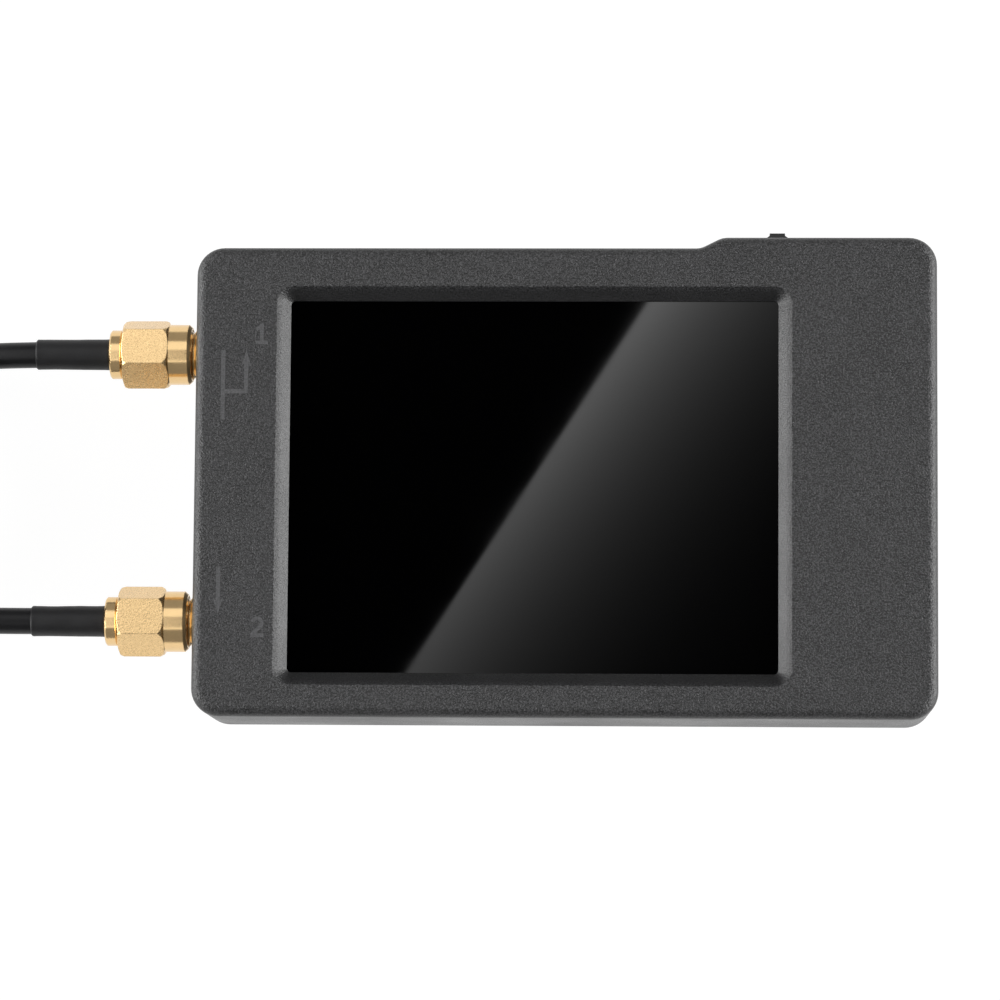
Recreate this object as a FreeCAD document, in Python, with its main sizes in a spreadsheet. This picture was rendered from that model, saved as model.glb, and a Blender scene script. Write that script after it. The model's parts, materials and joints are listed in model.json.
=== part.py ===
import FreeCAD, Part
import math
import os
from types import SimpleNamespace

import Sketcher

# A pocket antenna analyzer: a flat two-part case round a display, a board and a battery,
# two coaxial ports on the left wall with a cable screwed to each, and a jog lever, a data
# socket and a slide switch along the raised stretch of the top edge.
# X runs to the right of the screen, Y to its top edge and Z out of its face. The origin is
# in the middle of the rear face, which lies at Z = 0, and all lengths are millimetres.

os.makedirs("parts", exist_ok=True)
V = FreeCAD.Vector
document = FreeCAD.newDocument("antenna_analyzer")

# Driving dimensions

DIMENSIONS = {
    # the window in the front face, and the case's margins round its bevel
    "window_width": 63.0,
    "window_height": 48.2,
    "window_corner": 0.6,
    "bevel": 1.7,
    "bevel_edge": 0.25,
    "margin_left": 10.5,
    "margin_right": 18.65,
    "margin_top": 5.15,
    "margin_bottom": 4.05,
    # the case
    "wall": 1.8,
    "rear_wall": 1.8,
    "bevel_land": 0.2,
    "corner_radius": 3.6,
    "edge_radius": 1.3,
    "bump_height": 1.4,
    "bump_length": 30.4,
    "bump_slope": 2.8,
    "bump_radius": 2.5,
    # the stack of layers between the walls
    "battery_tape_thickness": 0.2,
    "battery_thickness": 4.2,
    "battery_headroom": 0.75,
    "board_thickness": 1.6,
    "part_headroom": 2.55,
    "backlight_thickness": 2.2,
    "glass_thickness": 1.4,
    "gasket_thickness": 0.3,
    "touch_thickness": 1.1,
    # the display's margins outside the window
    "panel_side": 2.8,
    "panel_end": 0.8,
    "touch_corner": 0.6,
    "frame_corner": 0.8,
    "gasket_width": 1.6,
    "glass_inset": 0.4,
    "flex_width": 18.0,
    "flex_thickness": 0.16,
    "flex_drop": 1.9,
    # the board and what is on it
    "board_gap": 0.6,
    "processor_side": 7.0,
    "processor_height": 0.9,
    "chip_height": 0.8,
    "can_length": 3.2,
    "can_width": 2.5,
    "passive_length": 1.0,
    "passive_width": 0.5,
    "shield_length": 15.0,
    "shield_width": 11.0,
    "shield_height": 1.9,
    "shield_sheet": 0.2,
    "shield_setback": 6.5,
    # the battery
    "battery_length": 50.0,
    "battery_width": 34.0,
    "battery_shift": -3.0,
    "pouch_corner": 1.7,
    "pouch_edge": 1.05,
    "lead_radius": 0.55,
    # the screws and their pillars
    "screw_side": 4.8,
    "screw_end_left": 5.0,
    "screw_end_right": 8.0,
    "screw_radius": 0.95,
    "screw_length": 12.0,
    "head_radius": 1.8,
    "head_height": 1.2,
    "head_depth": 0.8,
    "cross_length": 2.2,
    "cross_width": 0.5,
    "cross_depth": 0.7,
    "pillar_radius": 2.7,
    "stud_radius": 2.2,
    # the ports
    "port_spacing": 35.1,
    "jack_radius": 3.175,
    "jack_reach": 6.6,
    "jack_mouth_radius": 2.33,
    "jack_mouth_depth": 1.95,
    "jack_flange": 6.8,
    "jack_flange_depth": 1.6,
    "jack_leg": 1.0,
    "jack_leg_length": 4.6,
    "contact_radius": 0.635,
    "pin_radius": 0.45,
    "insulator_radius": 2.05,
    # the cables' plugs
    "nut_gap": 1.3,
    "collar_length": 2.9,
    "collar_radius": 3.95,
    "hex_length": 6.1,
    "hex_flats": 8.0,
    "hex_rounding": 0.7,
    "sleeve_radius": 2.285,
    "neck_radius": 2.7,
    "shoulder_length": 0.65,
    "ring_width": 0.46,
    "ring_depth": 0.3,
    "flange_radius": 3.2,
    "flange_length": 1.6,
    "stem_length": 3.55,
    "boot_radius": 2.025,
    "boot_length": 9.8,
    "cable_radius": 1.725,
    # the cables' coils and ties
    "coil_centre": 52.7,
    "lower_coil_radius": 17.4,
    "upper_coil_radius": 16.6,
    "layer_pitch": 3.9,
    "tie_thickness": 0.4,
    "tie_width": 3.0,
    "tie_gap": 0.2,
    # the jog lever
    "jog_setback": 20.4,
    "jog_frame_width": 5.2,
    "jog_frame_depth": 5.4,
    "jog_frame_height": 2.2,
    "jog_sheet": 0.3,
    "jog_lever_base": 2.95,
    "jog_lever_tip": 2.0,
    "jog_lever_reach": 1.7,
    "jog_skirt_reach": 1.05,
    "jog_slope_reach": 1.4,
    "jog_lever_swing": 1.05,
    "jog_hub_radius": 1.15,
    "jog_pivot_radius": 0.4,
    "jog_travel": 0.3,
    # the data socket
    "socket_width": 8.94,
    "socket_height": 3.2,
    "socket_depth": 7.35,
    "socket_sheet": 0.3,
    "socket_recess": 0.3,
    "tongue_width": 6.6,
    "tongue_height": 0.7,
    "tongue_length": 4.6,
    # the slide switch
    "switch_width": 5.2,
    "switch_depth": 2.6,
    "switch_height": 1.4,
    "knob_width": 1.3,
    "knob_height": 0.7,
    "knob_reach": 1.5,
    "knob_travel": 2.0,
    # clearances
    "fit": 0.02,
    "slip": 0.05,
    "seat": 0.1,
    "free": 0.2,
    "port_clearance": 0.125,
    "socket_clearance": 0.18,
}

sheet = document.addObject("Spreadsheet::Sheet", "sizes")
for row, (alias, number) in enumerate(DIMENSIONS.items(), 1):
    sheet.set(f"A{row}", alias)
    sheet.set(f"B{row}", str(number))
    sheet.setAlias(f"B{row}", alias)
document.recompute()


# A length known both as a formula on the sheet's cells and as the number that it gives
class Size:
    def __init__(self, formula, number):
        self.formula = formula
        self.number = number

    def __add__(self, other):
        other = as_size(other)
        return Size(f"({self.formula} + {other.formula})", self.number + other.number)

    def __sub__(self, other):
        other = as_size(other)
        return Size(f"({self.formula} - {other.formula})", self.number - other.number)

    def __mul__(self, other):
        other = as_size(other)
        return Size(f"({self.formula} * {other.formula})", self.number * other.number)

    def __truediv__(self, other):
        other = as_size(other)
        return Size(f"({self.formula} / {other.formula})", self.number / other.number)

    def __neg__(self):
        return Size(f"(0 - {self.formula})", -self.number)

    def __radd__(self, other):
        return as_size(other) + self

    def __rsub__(self, other):
        return as_size(other) - self

    def __rmul__(self, other):
        return as_size(other) * self


def as_size(value):
    return value if isinstance(value, Size) else Size(str(value), float(value))


def root(size):
    return Size(f"sqrt({size.formula})", math.sqrt(size.number))


d = SimpleNamespace(**{alias: Size(f"sizes.{alias}", float(sheet.get(alias))) for alias in DIMENSIONS})
ZERO = Size("0", 0.0)

# Places worked out from the driving dimensions

case_length = d.margin_left + d.bevel + d.window_width + d.bevel + d.margin_right
case_width = d.margin_top + d.bevel + d.window_height + d.bevel + d.margin_bottom
left = -(case_length / 2)
right = case_length / 2
bottom = -(case_width / 2)
top = case_width / 2
bump_top = top + d.bump_height
front_wall = d.bevel + d.bevel_land

window_left = left + d.margin_left + d.bevel
window_right = window_left + d.window_width
window_bottom = bottom + d.margin_bottom + d.bevel
window_top = window_bottom + d.window_height

battery_low = d.rear_wall + d.battery_tape_thickness
battery_high = battery_low + d.battery_thickness
board_low = battery_high + d.battery_headroom
board_high = board_low + d.board_thickness
backlight_low = board_high + d.part_headroom
glass_low = backlight_low + d.backlight_thickness
gasket_low = glass_low + d.glass_thickness
touch_low = gasket_low + d.gasket_thickness
touch_high = touch_low + d.touch_thickness
case_depth = touch_high + front_wall

panel_left = window_left - d.panel_side
panel_right = window_right + d.panel_side
panel_bottom = window_bottom - d.panel_end
panel_top = window_top + d.panel_end

port_height = board_high + d.pin_radius
seam = port_height
port_y = d.port_spacing / 2

# distances along a cable's plug, measured outward from the left wall
nut_end = d.nut_gap + d.collar_length + d.hex_length
plane = d.jack_reach - d.jack_mouth_depth
shoulder_start = d.jack_reach + d.free
shoulder_end = shoulder_start + d.shoulder_length
nut_seat = shoulder_end + d.seat
ring_centre = (nut_seat + nut_end) / 2
flange_start = nut_end + d.seat
flange_end = flange_start + d.flange_length
cable_start = flange_end + d.stem_length
boot_start = flange_end + d.fit
boot_end = boot_start + d.boot_length


# Helpers that make bound features

def bind(item, **formulas):
    for name, size in formulas.items():
        item.setExpression(name, as_size(size).formula)


def place(item, x=ZERO, y=ZERO, z=ZERO, rotation=None):
    if rotation is not None:
        item.Placement = FreeCAD.Placement(V(0, 0, 0), rotation)
    for axis, size in (("x", x), ("y", y), ("z", z)):
        item.setExpression(f"Placement.Base.{axis}", as_size(size).formula)
    return item


def block(label, x, y, z):
    item = document.addObject("Part::Box", label)
    item.Label = label
    bind(item, Length=x[1] - x[0], Width=y[1] - y[0], Height=z[1] - z[0])
    return place(item, x[0], y[0], z[0])


UP = FreeCAD.Rotation()
ALONG_X = FreeCAD.Rotation(V(0, 1, 0), 90)
ALONG_MINUS_X = FreeCAD.Rotation(V(0, 1, 0), -90)
ALONG_Y = FreeCAD.Rotation(V(1, 0, 0), -90)


def rod(label, radius, length, start, rotation=UP):
    item = document.addObject("Part::Cylinder", label)
    item.Label = label
    bind(item, Radius=radius, Height=length)
    return place(item, *start, rotation)


def fuse(label, items):
    item = document.addObject("Part::MultiFuse", label)
    item.Label = label
    item.Shapes = items
    return item


def cut(label, base, tool):
    item = document.addObject("Part::Cut", label)
    item.Label = label
    item.Base = base
    item.Tool = tool
    return item


def group(label, items):
    item = document.addObject("Part::Compound", label)
    item.Label = label
    item.Links = items
    return item


def solid(label, shape):
    item = document.addObject("Part::Feature", label)
    item.Label = label
    item.Shape = shape
    return item


# A sketch of one closed polygon on a body's XY plane, every corner tied to the sheet
def polygon(body, name, points, height=ZERO):
    sketch = body.newObject("Sketcher::SketchObject", name)
    xy_plane = next(item for item in body.Origin.OriginFeatures if item.Role == "XY_Plane")
    sketch.AttachmentSupport = (xy_plane, [""])
    sketch.MapMode = "FlatFace"
    sketch.setExpression("AttachmentOffset.Base.z", height.formula)
    corners = [V(x.number, y.number, 0) for x, y in points]
    count = len(corners)
    for index in range(count):
        sketch.addGeometry(Part.LineSegment(corners[index], corners[(index + 1) % count]), False)
    for index in range(count):
        sketch.addConstraint(Sketcher.Constraint("Coincident", index, 2, (index + 1) % count, 1))
    for index, (x, y) in enumerate(points):
        for kind, size in (("DistanceX", x), ("DistanceY", y)):
            place_of = sketch.addConstraint(Sketcher.Constraint(kind, -1, 1, index, 1, size.number))
            sketch.setExpression(f"Constraints[{place_of}]", size.formula)
    return sketch


def new_body(label):
    body = document.addObject("PartDesign::Body", label)
    body.Label = label
    return body


def pad(body, name, sketch, length):
    feature = body.newObject("PartDesign::Pad", name)
    feature.Profile = sketch
    bind(feature, Length=length)
    document.recompute()
    return feature


def slab(label, points, low, high):
    body = new_body(label)
    pad(body, f"{label}_pad", polygon(body, f"{label}_outline", points, low), high - low)
    return body


def rounded(body, kind, name, wanted, size):
    base = body.Tip
    names = [f"Edge{index}" for index, edge in enumerate(base.Shape.Edges, 1) if wanted(edge)]
    feature = body.newObject(f"PartDesign::{kind}", name)
    feature.Base = (base, names)
    bind(feature, **{"Radius" if kind == "Fillet" else "Size": size})
    document.recompute()
    return feature


def upright(edge):
    return abs(edge.tangentAt(edge.FirstParameter).z) > 0.99 and len(edge.Vertexes) == 2


def level(edge, height):
    return all(abs(vertex.Z - height) < 1e-4 for vertex in edge.Vertexes)


def rectangle(x_low, x_high, y_low, y_high):
    return [(x_low, y_low), (x_high, y_low), (x_high, y_high), (x_low, y_high)]


# A piece turned about its own X axis, from corners given as (place along it, radius)
def turned(label, corners):
    body = new_body(label)
    sketch = polygon(body, f"{label}_profile", corners)
    feature = body.newObject("PartDesign::Revolution", f"{label}_turn")
    feature.Profile = sketch
    feature.ReferenceAxis = (sketch, ["H_Axis"])
    feature.Angle = 360
    document.recompute()
    return body


# The case's outline seen from the front, moved inward by an inset

def case_outline(inset):
    slant = (root(d.bump_height * d.bump_height + d.bump_slope * d.bump_slope) - d.bump_slope) / d.bump_height
    bump_start = right - d.bump_length + inset * slant
    return [
        (left + inset, bottom + inset),
        (right - inset, bottom + inset),
        (right - inset, bump_top - inset),
        (bump_start + d.bump_slope, bump_top - inset),
        (bump_start, top - inset),
        (left + inset, top - inset),
    ]


def shell_block(label, inset, low, high, corner, slope_radius):
    points = case_outline(inset)
    body = slab(label, points, low, high)
    slope = [points[3], points[4]]

    def on_slope(edge):
        place_of = edge.Vertexes[0]
        return any(math.hypot(place_of.X - x.number, place_of.Y - y.number) < 1e-3 for x, y in slope)

    rounded(body, "Fillet", f"{label}_corners", lambda e: upright(e) and not on_slope(e), corner)
    rounded(body, "Fillet", f"{label}_slope", lambda e: upright(e) and on_slope(e), slope_radius)
    return body


# Openings that both halves of the case share

def stadium(label, x, z, y):
    # a slot along Y with half-round ends, given by its ranges of x, z and y
    radius = (z[1] - z[0]) / 2
    middle = (z[0] + z[1]) / 2
    pieces = [block(f"{label}_middle", (x[0] + radius, x[1] - radius), y, z)]
    for end, place_of in (("low", x[0] + radius), ("high", x[1] - radius)):
        pieces.append(rod(f"{label}_{end}", radius, y[1] - y[0], (place_of, y[0], middle), ALONG_Y))
    return fuse(label, pieces)


def about(middle, width):
    return (middle - width / 2, middle + width / 2)


wall_inner = bump_top - d.wall
jog_x = right - d.jog_setback
through_top = (wall_inner - d.free, bump_top + d.free)
socket_x = jog_x + d.jog_frame_width / 2 + d.free + d.socket_width / 2 + d.slip
socket_z = (board_high, board_high + d.socket_height)
switch_x = socket_x + d.socket_width / 2 + d.seat + d.switch_width / 2
switch_middle = board_high + d.switch_height / 2
jog_lever_low = board_high + d.jog_sheet * 2 + d.seat * 1.5
jog_lever_high = board_high + d.jog_frame_height - d.jog_sheet - d.seat


def shared_openings(label):
    tools = []
    for number, side in ((1, 1), (2, -1)):
        start = (left - d.free, port_y * side, port_height)
        radius = d.jack_radius + d.port_clearance
        tools.append(rod(f"{label}_jack_{number}", radius, d.wall + d.free * 2, start, ALONG_X))
    room = d.socket_clearance
    socket = (socket_z[0] - room, socket_z[1] + room)
    tools.append(stadium(f"{label}_socket", about(socket_x, d.socket_width + room * 2), socket, through_top))
    slot = about(jog_x, d.jog_lever_base + (d.jog_lever_swing + d.free) * 2)
    tools.append(block(f"{label}_jog", slot, through_top, (seam, jog_lever_high + d.free)))
    slot = about(switch_x, d.knob_width + d.knob_travel + d.free * 4)
    height = about(switch_middle, d.knob_height + d.free * 4)
    tools.append(block(f"{label}_switch", slot, through_top, height))
    return tools


screw_places = [
    (left + d.screw_side, bottom + d.screw_end_left),
    (left + d.screw_side, top - d.screw_end_left),
    (right - d.screw_side, bottom + d.screw_end_right),
    (right - d.screw_side, top - d.screw_end_right),
]


def screw_rods(label, radius, low, high):
    rods = []
    for number, (x, y) in enumerate(screw_places, 1):
        rods.append(rod(f"{label}_{number}", radius, high - low, (x, y, low)))
    return rods


# Front cover: outer shell, cavity, bevelled window, studs that the screws bite into

def front_cover():
    outer = shell_block("front_block", ZERO, seam, case_depth, d.corner_radius, d.bump_radius)
    face = case_depth.number
    rounded(outer, "Fillet", "front_edge", lambda e: level(e, face), d.edge_radius)
    window = rectangle(window_left, window_right, window_bottom, window_top)
    sketch = polygon(outer, "window_outline", window, case_depth)
    pocket = outer.newObject("PartDesign::Pocket", "window")
    pocket.Profile = sketch
    bind(pocket, Length=front_wall)
    document.recompute()

    def near_window(edge, margin):
        spot = edge.CenterOfMass
        inside_x = window_left.number - margin < spot.x < window_right.number + margin
        inside_y = window_bottom.number - margin < spot.y < window_top.number + margin
        return inside_x and inside_y

    reach = d.bevel.number + 1e-3
    rounded(outer, "Fillet", "window_corners", lambda e: upright(e) and near_window(e, 1e-3), d.window_corner)
    rounded(outer, "Chamfer", "window_bevel", lambda e: level(e, face) and near_window(e, 1e-3), d.bevel)
    rounded(outer, "Fillet", "bevel_edge", lambda e: level(e, face) and near_window(e, reach), d.bevel_edge)
    inner_corner = d.corner_radius - d.wall
    cavity_top = case_depth - front_wall
    cavity = shell_block("front_cavity", d.wall, seam - d.free, cavity_top, inner_corner, d.bump_radius)
    shell = cut("front_shell", outer, cavity)
    studs = screw_rods("front_stud", d.stud_radius, board_high + d.slip, cavity_top + front_wall / 2)
    joined = fuse("front_with_studs", [shell] + studs)
    pilot_top = d.head_depth + d.head_height + d.screw_length + d.free
    pilots = screw_rods("front_pilot", d.screw_radius + d.fit, board_high - d.free, pilot_top)
    return cut("front_cover", joined, fuse("front_openings", shared_openings("front") + pilots))


# Rear cover: outer shell, cavity, pillars under the board with sunk seats for the screws

def rear_cover():
    outer = shell_block("rear_block", ZERO, ZERO, seam, d.corner_radius, d.bump_radius)
    rounded(outer, "Fillet", "rear_edge", lambda e: level(e, 0), d.edge_radius)
    inner_corner = d.corner_radius - d.wall
    cavity = shell_block("rear_cavity", d.wall, d.rear_wall, seam + d.free, inner_corner, d.bump_radius)
    shell = cut("rear_shell", outer, cavity)
    pillars = screw_rods("rear_pillar", d.pillar_radius, d.rear_wall / 2, board_low - d.slip)
    joined = fuse("rear_with_pillars", [shell] + pillars)
    bores = screw_rods("rear_bore", d.screw_radius + d.free, -d.free, board_low)
    seat_top = d.head_depth + d.head_height
    seats = screw_rods("rear_seat", d.head_radius + d.free, -d.free, seat_top)
    return cut("rear_cover", joined, fuse("rear_openings", shared_openings("rear") + bores + seats))


# Four self-tapping screws with crossed recesses, put in from the rear

def case_screws():
    screws = []
    seat_top = d.head_depth + d.head_height
    slot = d.cross_length / 2
    thin = d.cross_width / 2
    depth = (d.head_depth - d.free, d.head_depth + d.cross_depth)
    for number, (x, y) in enumerate(screw_places, 1):
        name = f"screw_{number}"
        head = rod(f"{name}_head", d.head_radius, d.head_height, (x, y, d.head_depth))
        shank = rod(f"{name}_shank", d.screw_radius, d.screw_length + d.free, (x, y, seat_top - d.free))
        cross = [
            block(f"{name}_slot_a", (x - slot, x + slot), (y - thin, y + thin), depth),
            block(f"{name}_slot_b", (x - thin, x + thin), (y - slot, y + slot), depth),
        ]
        screws.append(cut(name, fuse(f"{name}_blank", [head, shank]), fuse(f"{name}_cross", cross)))
    return group("case_screws", screws)


# The display: touch panel under the window, gasket, glass, backlight frame and flex

def display():
    whole = rectangle(panel_left, panel_right, panel_bottom, panel_top)
    touch = slab("touch_panel", whole, touch_low, touch_high)
    rounded(touch, "Fillet", "touch_corners", upright, d.touch_corner)
    rim = slab("gasket_rim", whole, gasket_low, touch_low)
    w = d.gasket_width
    hole = rectangle(panel_left + w, panel_right - w, panel_bottom + w, panel_top - w)
    gasket = cut("display_gasket", rim, slab("gasket_hole", hole, gasket_low - d.free, touch_low + d.free))
    i = d.glass_inset
    lesser = rectangle(panel_left + i, panel_right - i, panel_bottom + i, panel_top - i)
    glass = slab("display_glass", lesser, glass_low, gasket_low)
    frame = slab("display_frame", whole, backlight_low, glass_low)
    rounded(frame, "Fillet", "frame_corners", upright, d.frame_corner)
    return [touch, gasket, glass, frame]


# The flex leaves the right end of the display, folds under it and ends in its socket

def display_flex():
    middle = (window_bottom + window_top) / 2
    y_low = (middle - d.flex_width / 2).number
    half = d.flex_thickness.number / 2
    radius = d.flex_drop.number / 2
    upper = backlight_low.number + 1.2 * radius
    lower = upper - 2 * radius
    start = panel_right.number
    bend = start + 1.4 * radius
    stop = start - 2 * radius
    outer = radius + half
    inner = radius - half
    centre = (upper + lower) / 2
    p = [V(start, y_low, upper + half), V(bend, y_low, upper + half), V(bend, y_low, lower - half),
         V(stop, y_low, lower - half), V(stop, y_low, lower + half), V(bend, y_low, lower + half),
         V(bend, y_low, upper - half), V(start, y_low, upper - half)]
    edges = [
        Part.LineSegment(p[0], p[1]).toShape(),
        Part.Arc(p[1], V(bend + outer, y_low, centre), p[2]).toShape(),
        Part.LineSegment(p[2], p[3]).toShape(),
        Part.LineSegment(p[3], p[4]).toShape(),
        Part.LineSegment(p[4], p[5]).toShape(),
        Part.Arc(p[5], V(bend + inner, y_low, centre), p[6]).toShape(),
        Part.LineSegment(p[6], p[7]).toShape(),
        Part.LineSegment(p[7], p[0]).toShape(),
    ]
    ribbon = Part.Face(Part.Wire(edges)).extrude(V(0, d.flex_width.number, 0))
    flex = solid("display_flex", ribbon)
    socket_end = panel_right - d.flex_drop
    socket_start = socket_end - d.flex_drop * 1.8
    flex_low = backlight_low - d.flex_drop * 0.4 - d.flex_thickness / 2
    span = (middle - d.flex_width / 2 - d.free * 4, middle + d.flex_width / 2 + d.free * 4)
    height = (board_high, flex_low + d.flex_thickness)
    body = block("flex_socket", (socket_start, socket_end), span, height)
    return [flex, body]


# The board stops behind the jacks' flanges and has four screw holes

jack_inner = -(d.wall + d.slip)
jack_back = jack_inner - d.jack_flange_depth
board_left = left - jack_back + d.fit


def main_board():
    outline = case_outline(d.wall + d.board_gap)
    outline[0] = (board_left, outline[0][1])
    outline[5] = (board_left, outline[5][1])
    board = slab("board_plate", outline, board_low, board_high)
    rounded(board, "Fillet", "board_corners", upright, d.board_gap)
    holes = screw_rods("board_hole", d.screw_radius + d.free, board_low - d.free, board_high + d.free)
    return cut("main_board", board, fuse("board_holes", holes))


def on_board(label, x, y, length, width, height):
    return block(label, about(x, length), about(y, width), (board_high, board_high + height))


def board_parts():
    shields = []
    x = board_left + d.shield_setback + d.shield_length / 2
    for number, side in ((1, 1), (2, -1)):
        y = port_y * side
        inner = d.shield_sheet * 2
        outside = on_board(f"shield_{number}_outside", x, y, d.shield_length, d.shield_width, d.shield_height)
        hollow = block(
            f"shield_{number}_hollow",
            about(x, d.shield_length - inner),
            about(y, d.shield_width - inner),
            (board_high - d.free, board_high + d.shield_height - d.shield_sheet),
        )
        shields.append(cut(f"shield_{number}", outside, hollow))
    side = d.processor_side
    processor = on_board("processor_chip", window_left + d.window_width * 0.55, ZERO, side, side, d.processor_height)
    chip_places = [
        ("mixer_chip_1", x, port_y, 0.45),
        ("mixer_chip_2", x, -port_y, 0.45),
        ("clock_chip", x, ZERO, 0.55),
        ("converter_chip", x + side * 2, side * 1.4, 0.7),
        ("charger_chip", x + side * 6, side * 1.7, 0.5),
    ]
    chips = []
    for name, chip_x, chip_y, share in chip_places:
        chips.append(on_board(name, chip_x, as_size(chip_y), side * share, side * share, d.chip_height))
    cans = []
    for number, place_of in ((1, x + side * 1.1), (2, x + side * 2)):
        cans.append(on_board(f"crystal_{number}", place_of, -side * 0.4, d.can_length, d.can_width, d.processor_height))
    passives = []
    passive = d.passive_length
    for column in range(6):
        for row_number in range(2):
            passive_x = x + side * 0.9 + passive * 2.2 * column
            passive_y = -side * (1.3 + row_number * 0.35)
            name = f"passive_{row_number + 1}_{column + 1}"
            passives.append(on_board(name, passive_x, passive_y, passive, d.passive_width, d.passive_width))
    lamps = []
    for number in range(2):
        lamp_x = jog_x - d.jog_frame_width - passive * 2 * number
        lamp_y = top - d.wall - d.board_gap - passive * 1.5
        lamps.append(on_board(f"lamp_{number + 1}", lamp_x, lamp_y, passive, passive * 1.6, passive * 0.6))
    return [
        group("rf_shields", shields),
        processor,
        group("small_chips", chips),
        group("crystal_cans", cans),
        group("passives", passives),
        group("status_lamps", lamps),
    ]


# The battery pouch on its tape, its two leads and their plug under the board

def battery():
    x = about(d.battery_shift, d.battery_length)
    y = about(ZERO, d.battery_width)
    pouch = slab("battery_pouch", rectangle(x[0], x[1], y[0], y[1]), battery_low, battery_high)
    rounded(pouch, "Fillet", "pouch_corners", upright, d.pouch_corner)
    ends = (battery_low.number, battery_high.number)
    rounded(pouch, "Fillet", "pouch_edges", lambda e: any(level(e, z) for z in ends), d.pouch_edge)
    inset = d.battery_thickness
    tape = block("battery_tape", (x[0] + inset, x[1] - inset), (y[0] + inset, y[1] - inset), (d.rear_wall, battery_low))
    lead_gap = d.lead_radius * 4
    plug_x = x[1] + d.battery_thickness * 1.4
    plug_high = board_low - d.seat
    plug_low = plug_high - d.lead_radius * 4
    plug_y = (-lead_gap, lead_gap)
    plug_end = plug_x + d.battery_thickness
    plug = block("battery_plug", (plug_x, plug_end), plug_y, (plug_low, plug_high))
    outer = block(
        "battery_socket_block",
        (plug_x + d.lead_radius * 2, plug_end + d.lead_radius * 2),
        (plug_y[0] - d.lead_radius, plug_y[1] + d.lead_radius),
        (plug_low - d.lead_radius, board_low),
    )
    room = block(
        "battery_socket_room",
        (plug_x - d.free, plug_end + d.fit),
        (plug_y[0] - d.fit, plug_y[1] + d.fit),
        (plug_low - d.fit, plug_high + d.fit),
    )
    socket = cut("battery_socket", outer, room)
    start_z = ((battery_low + battery_high) / 2).number
    end_z = ((plug_low + plug_high) / 2).number
    start_x = x[1].number
    end_x = plug_x.number
    run = (end_x - start_x) / 4
    leads = []
    for name, side in (("battery_lead_red", 1), ("battery_lead_black", -1)):
        y_out = side * lead_gap.number * 1.1
        y_in = side * lead_gap.number / 2
        route = [V(start_x, y_out, start_z), V(start_x + run, y_out, start_z),
                 V(end_x - run, y_in, end_z), V(end_x, y_in, end_z)]
        leads.append(tube(name, route, d.lead_radius.number))
    return [pouch, tape, plug, socket] + leads


# Edges of a path: straight runs joined by tangent arcs as large as two runs allow

def path_of(label, points):
    edges = []
    radii = []
    start = points[0]
    for before, corner, after in zip(points, points[1:], points[2:]):
        into = (corner - before).normalize()
        out = (after - corner).normalize()
        turn = into.getAngle(out)
        reach = 0.45 * min((corner - before).Length, (after - corner).Length)
        radii.append(reach / math.tan(turn / 2))
        arc_start = corner - into * reach
        arc_end = corner + out * reach
        middle_way = (arc_start + arc_end) * 0.5
        height = (corner - middle_way).Length
        half_chord = (arc_end - arc_start).Length / 2
        rise = half_chord * math.tan(math.atan2(height, half_chord) / 2)
        arc_middle = middle_way + (corner - middle_way).normalize() * rise
        edges.append(Part.LineSegment(start, arc_start).toShape())
        edges.append(Part.Arc(arc_start, arc_middle, arc_end).toShape())
        start = arc_end
    edges.append(Part.LineSegment(start, points[-1]).toShape())
    print(f"{label}: radii", ", ".join(f"{radius:.1f}" for radius in radii))
    return edges


def sweep(label, edges, radius):
    path = Part.Wire(edges)
    first = edges[0]
    start = first.Vertexes[0].Point
    along = first.tangentAt(first.FirstParameter)
    profile = Part.Wire([Part.Circle(start, along, radius).toShape()])
    maker = Part.BRepOffsetAPI.MakePipeShell(path)
    maker.add(profile)
    maker.build()
    maker.makeSolid()
    shape = maker.shape()
    share = shape.Volume / (math.pi * radius * radius * path.Length)
    print(f"{label}: length {path.Length:.1f}, volume over section times length {share:.4f}")
    return solid(label, shape)


def tube(label, points, radius):
    return sweep(label, path_of(label, points), radius)


# The jacks in the left wall: threaded barrel, square flange, four legs that grip the board

def jack_frame(item, side):
    return place(item, left, port_y * side, port_height, FreeCAD.Rotation(V(0, 0, 1), 180))


def jack(number, side):
    name = f"port_{number}_jack"
    chamfer = d.seat * 3
    barrel = turned(f"{name}_barrel", [
        (jack_inner - d.jack_flange_depth / 2, d.insulator_radius),
        (plane, d.insulator_radius),
        (plane, d.jack_mouth_radius),
        (d.jack_reach, d.jack_mouth_radius),
        (d.jack_reach, d.jack_radius - chamfer),
        (d.jack_reach - chamfer, d.jack_radius),
        (jack_inner - d.jack_flange_depth / 2, d.jack_radius),
    ])
    jack_frame(barrel, side)
    x_flange = (left - jack_inner, left - jack_back)
    y = port_y * side
    flange = block(f"{name}_flange", x_flange, about(y, d.jack_flange), about(port_height, d.jack_flange))
    legs = []
    leg_x = (left - jack_back - d.jack_leg / 2, left - jack_back + d.jack_leg_length)
    shift = d.jack_flange / 2 - d.jack_leg / 2
    for leg_side in (1, -1):
        leg_y = about(y + shift * leg_side, d.jack_leg)
        legs.append(block(f"{name}_leg_{len(legs) + 1}", leg_x, leg_y, (board_high, board_high + d.jack_leg)))
        legs.append(block(f"{name}_leg_{len(legs) + 1}", leg_x, leg_y, (board_low - d.jack_leg, board_low)))
    bore = rod(f"{name}_bore", d.insulator_radius, d.jack_flange_depth + d.free * 2,
               (left - jack_inner - d.free, y, port_height), ALONG_X)
    leg_room = block(f"{name}_edge", (left - jack_back, left - jack_back + d.jack_leg),
                     about(y, d.jack_flange), (board_low, board_high))
    flange_with_legs = cut(f"{name}_base", fuse(f"{name}_blank", [flange] + legs),
                           fuse(f"{name}_inside", [bore, leg_room]))
    return fuse(name, [barrel, flange_with_legs])


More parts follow.
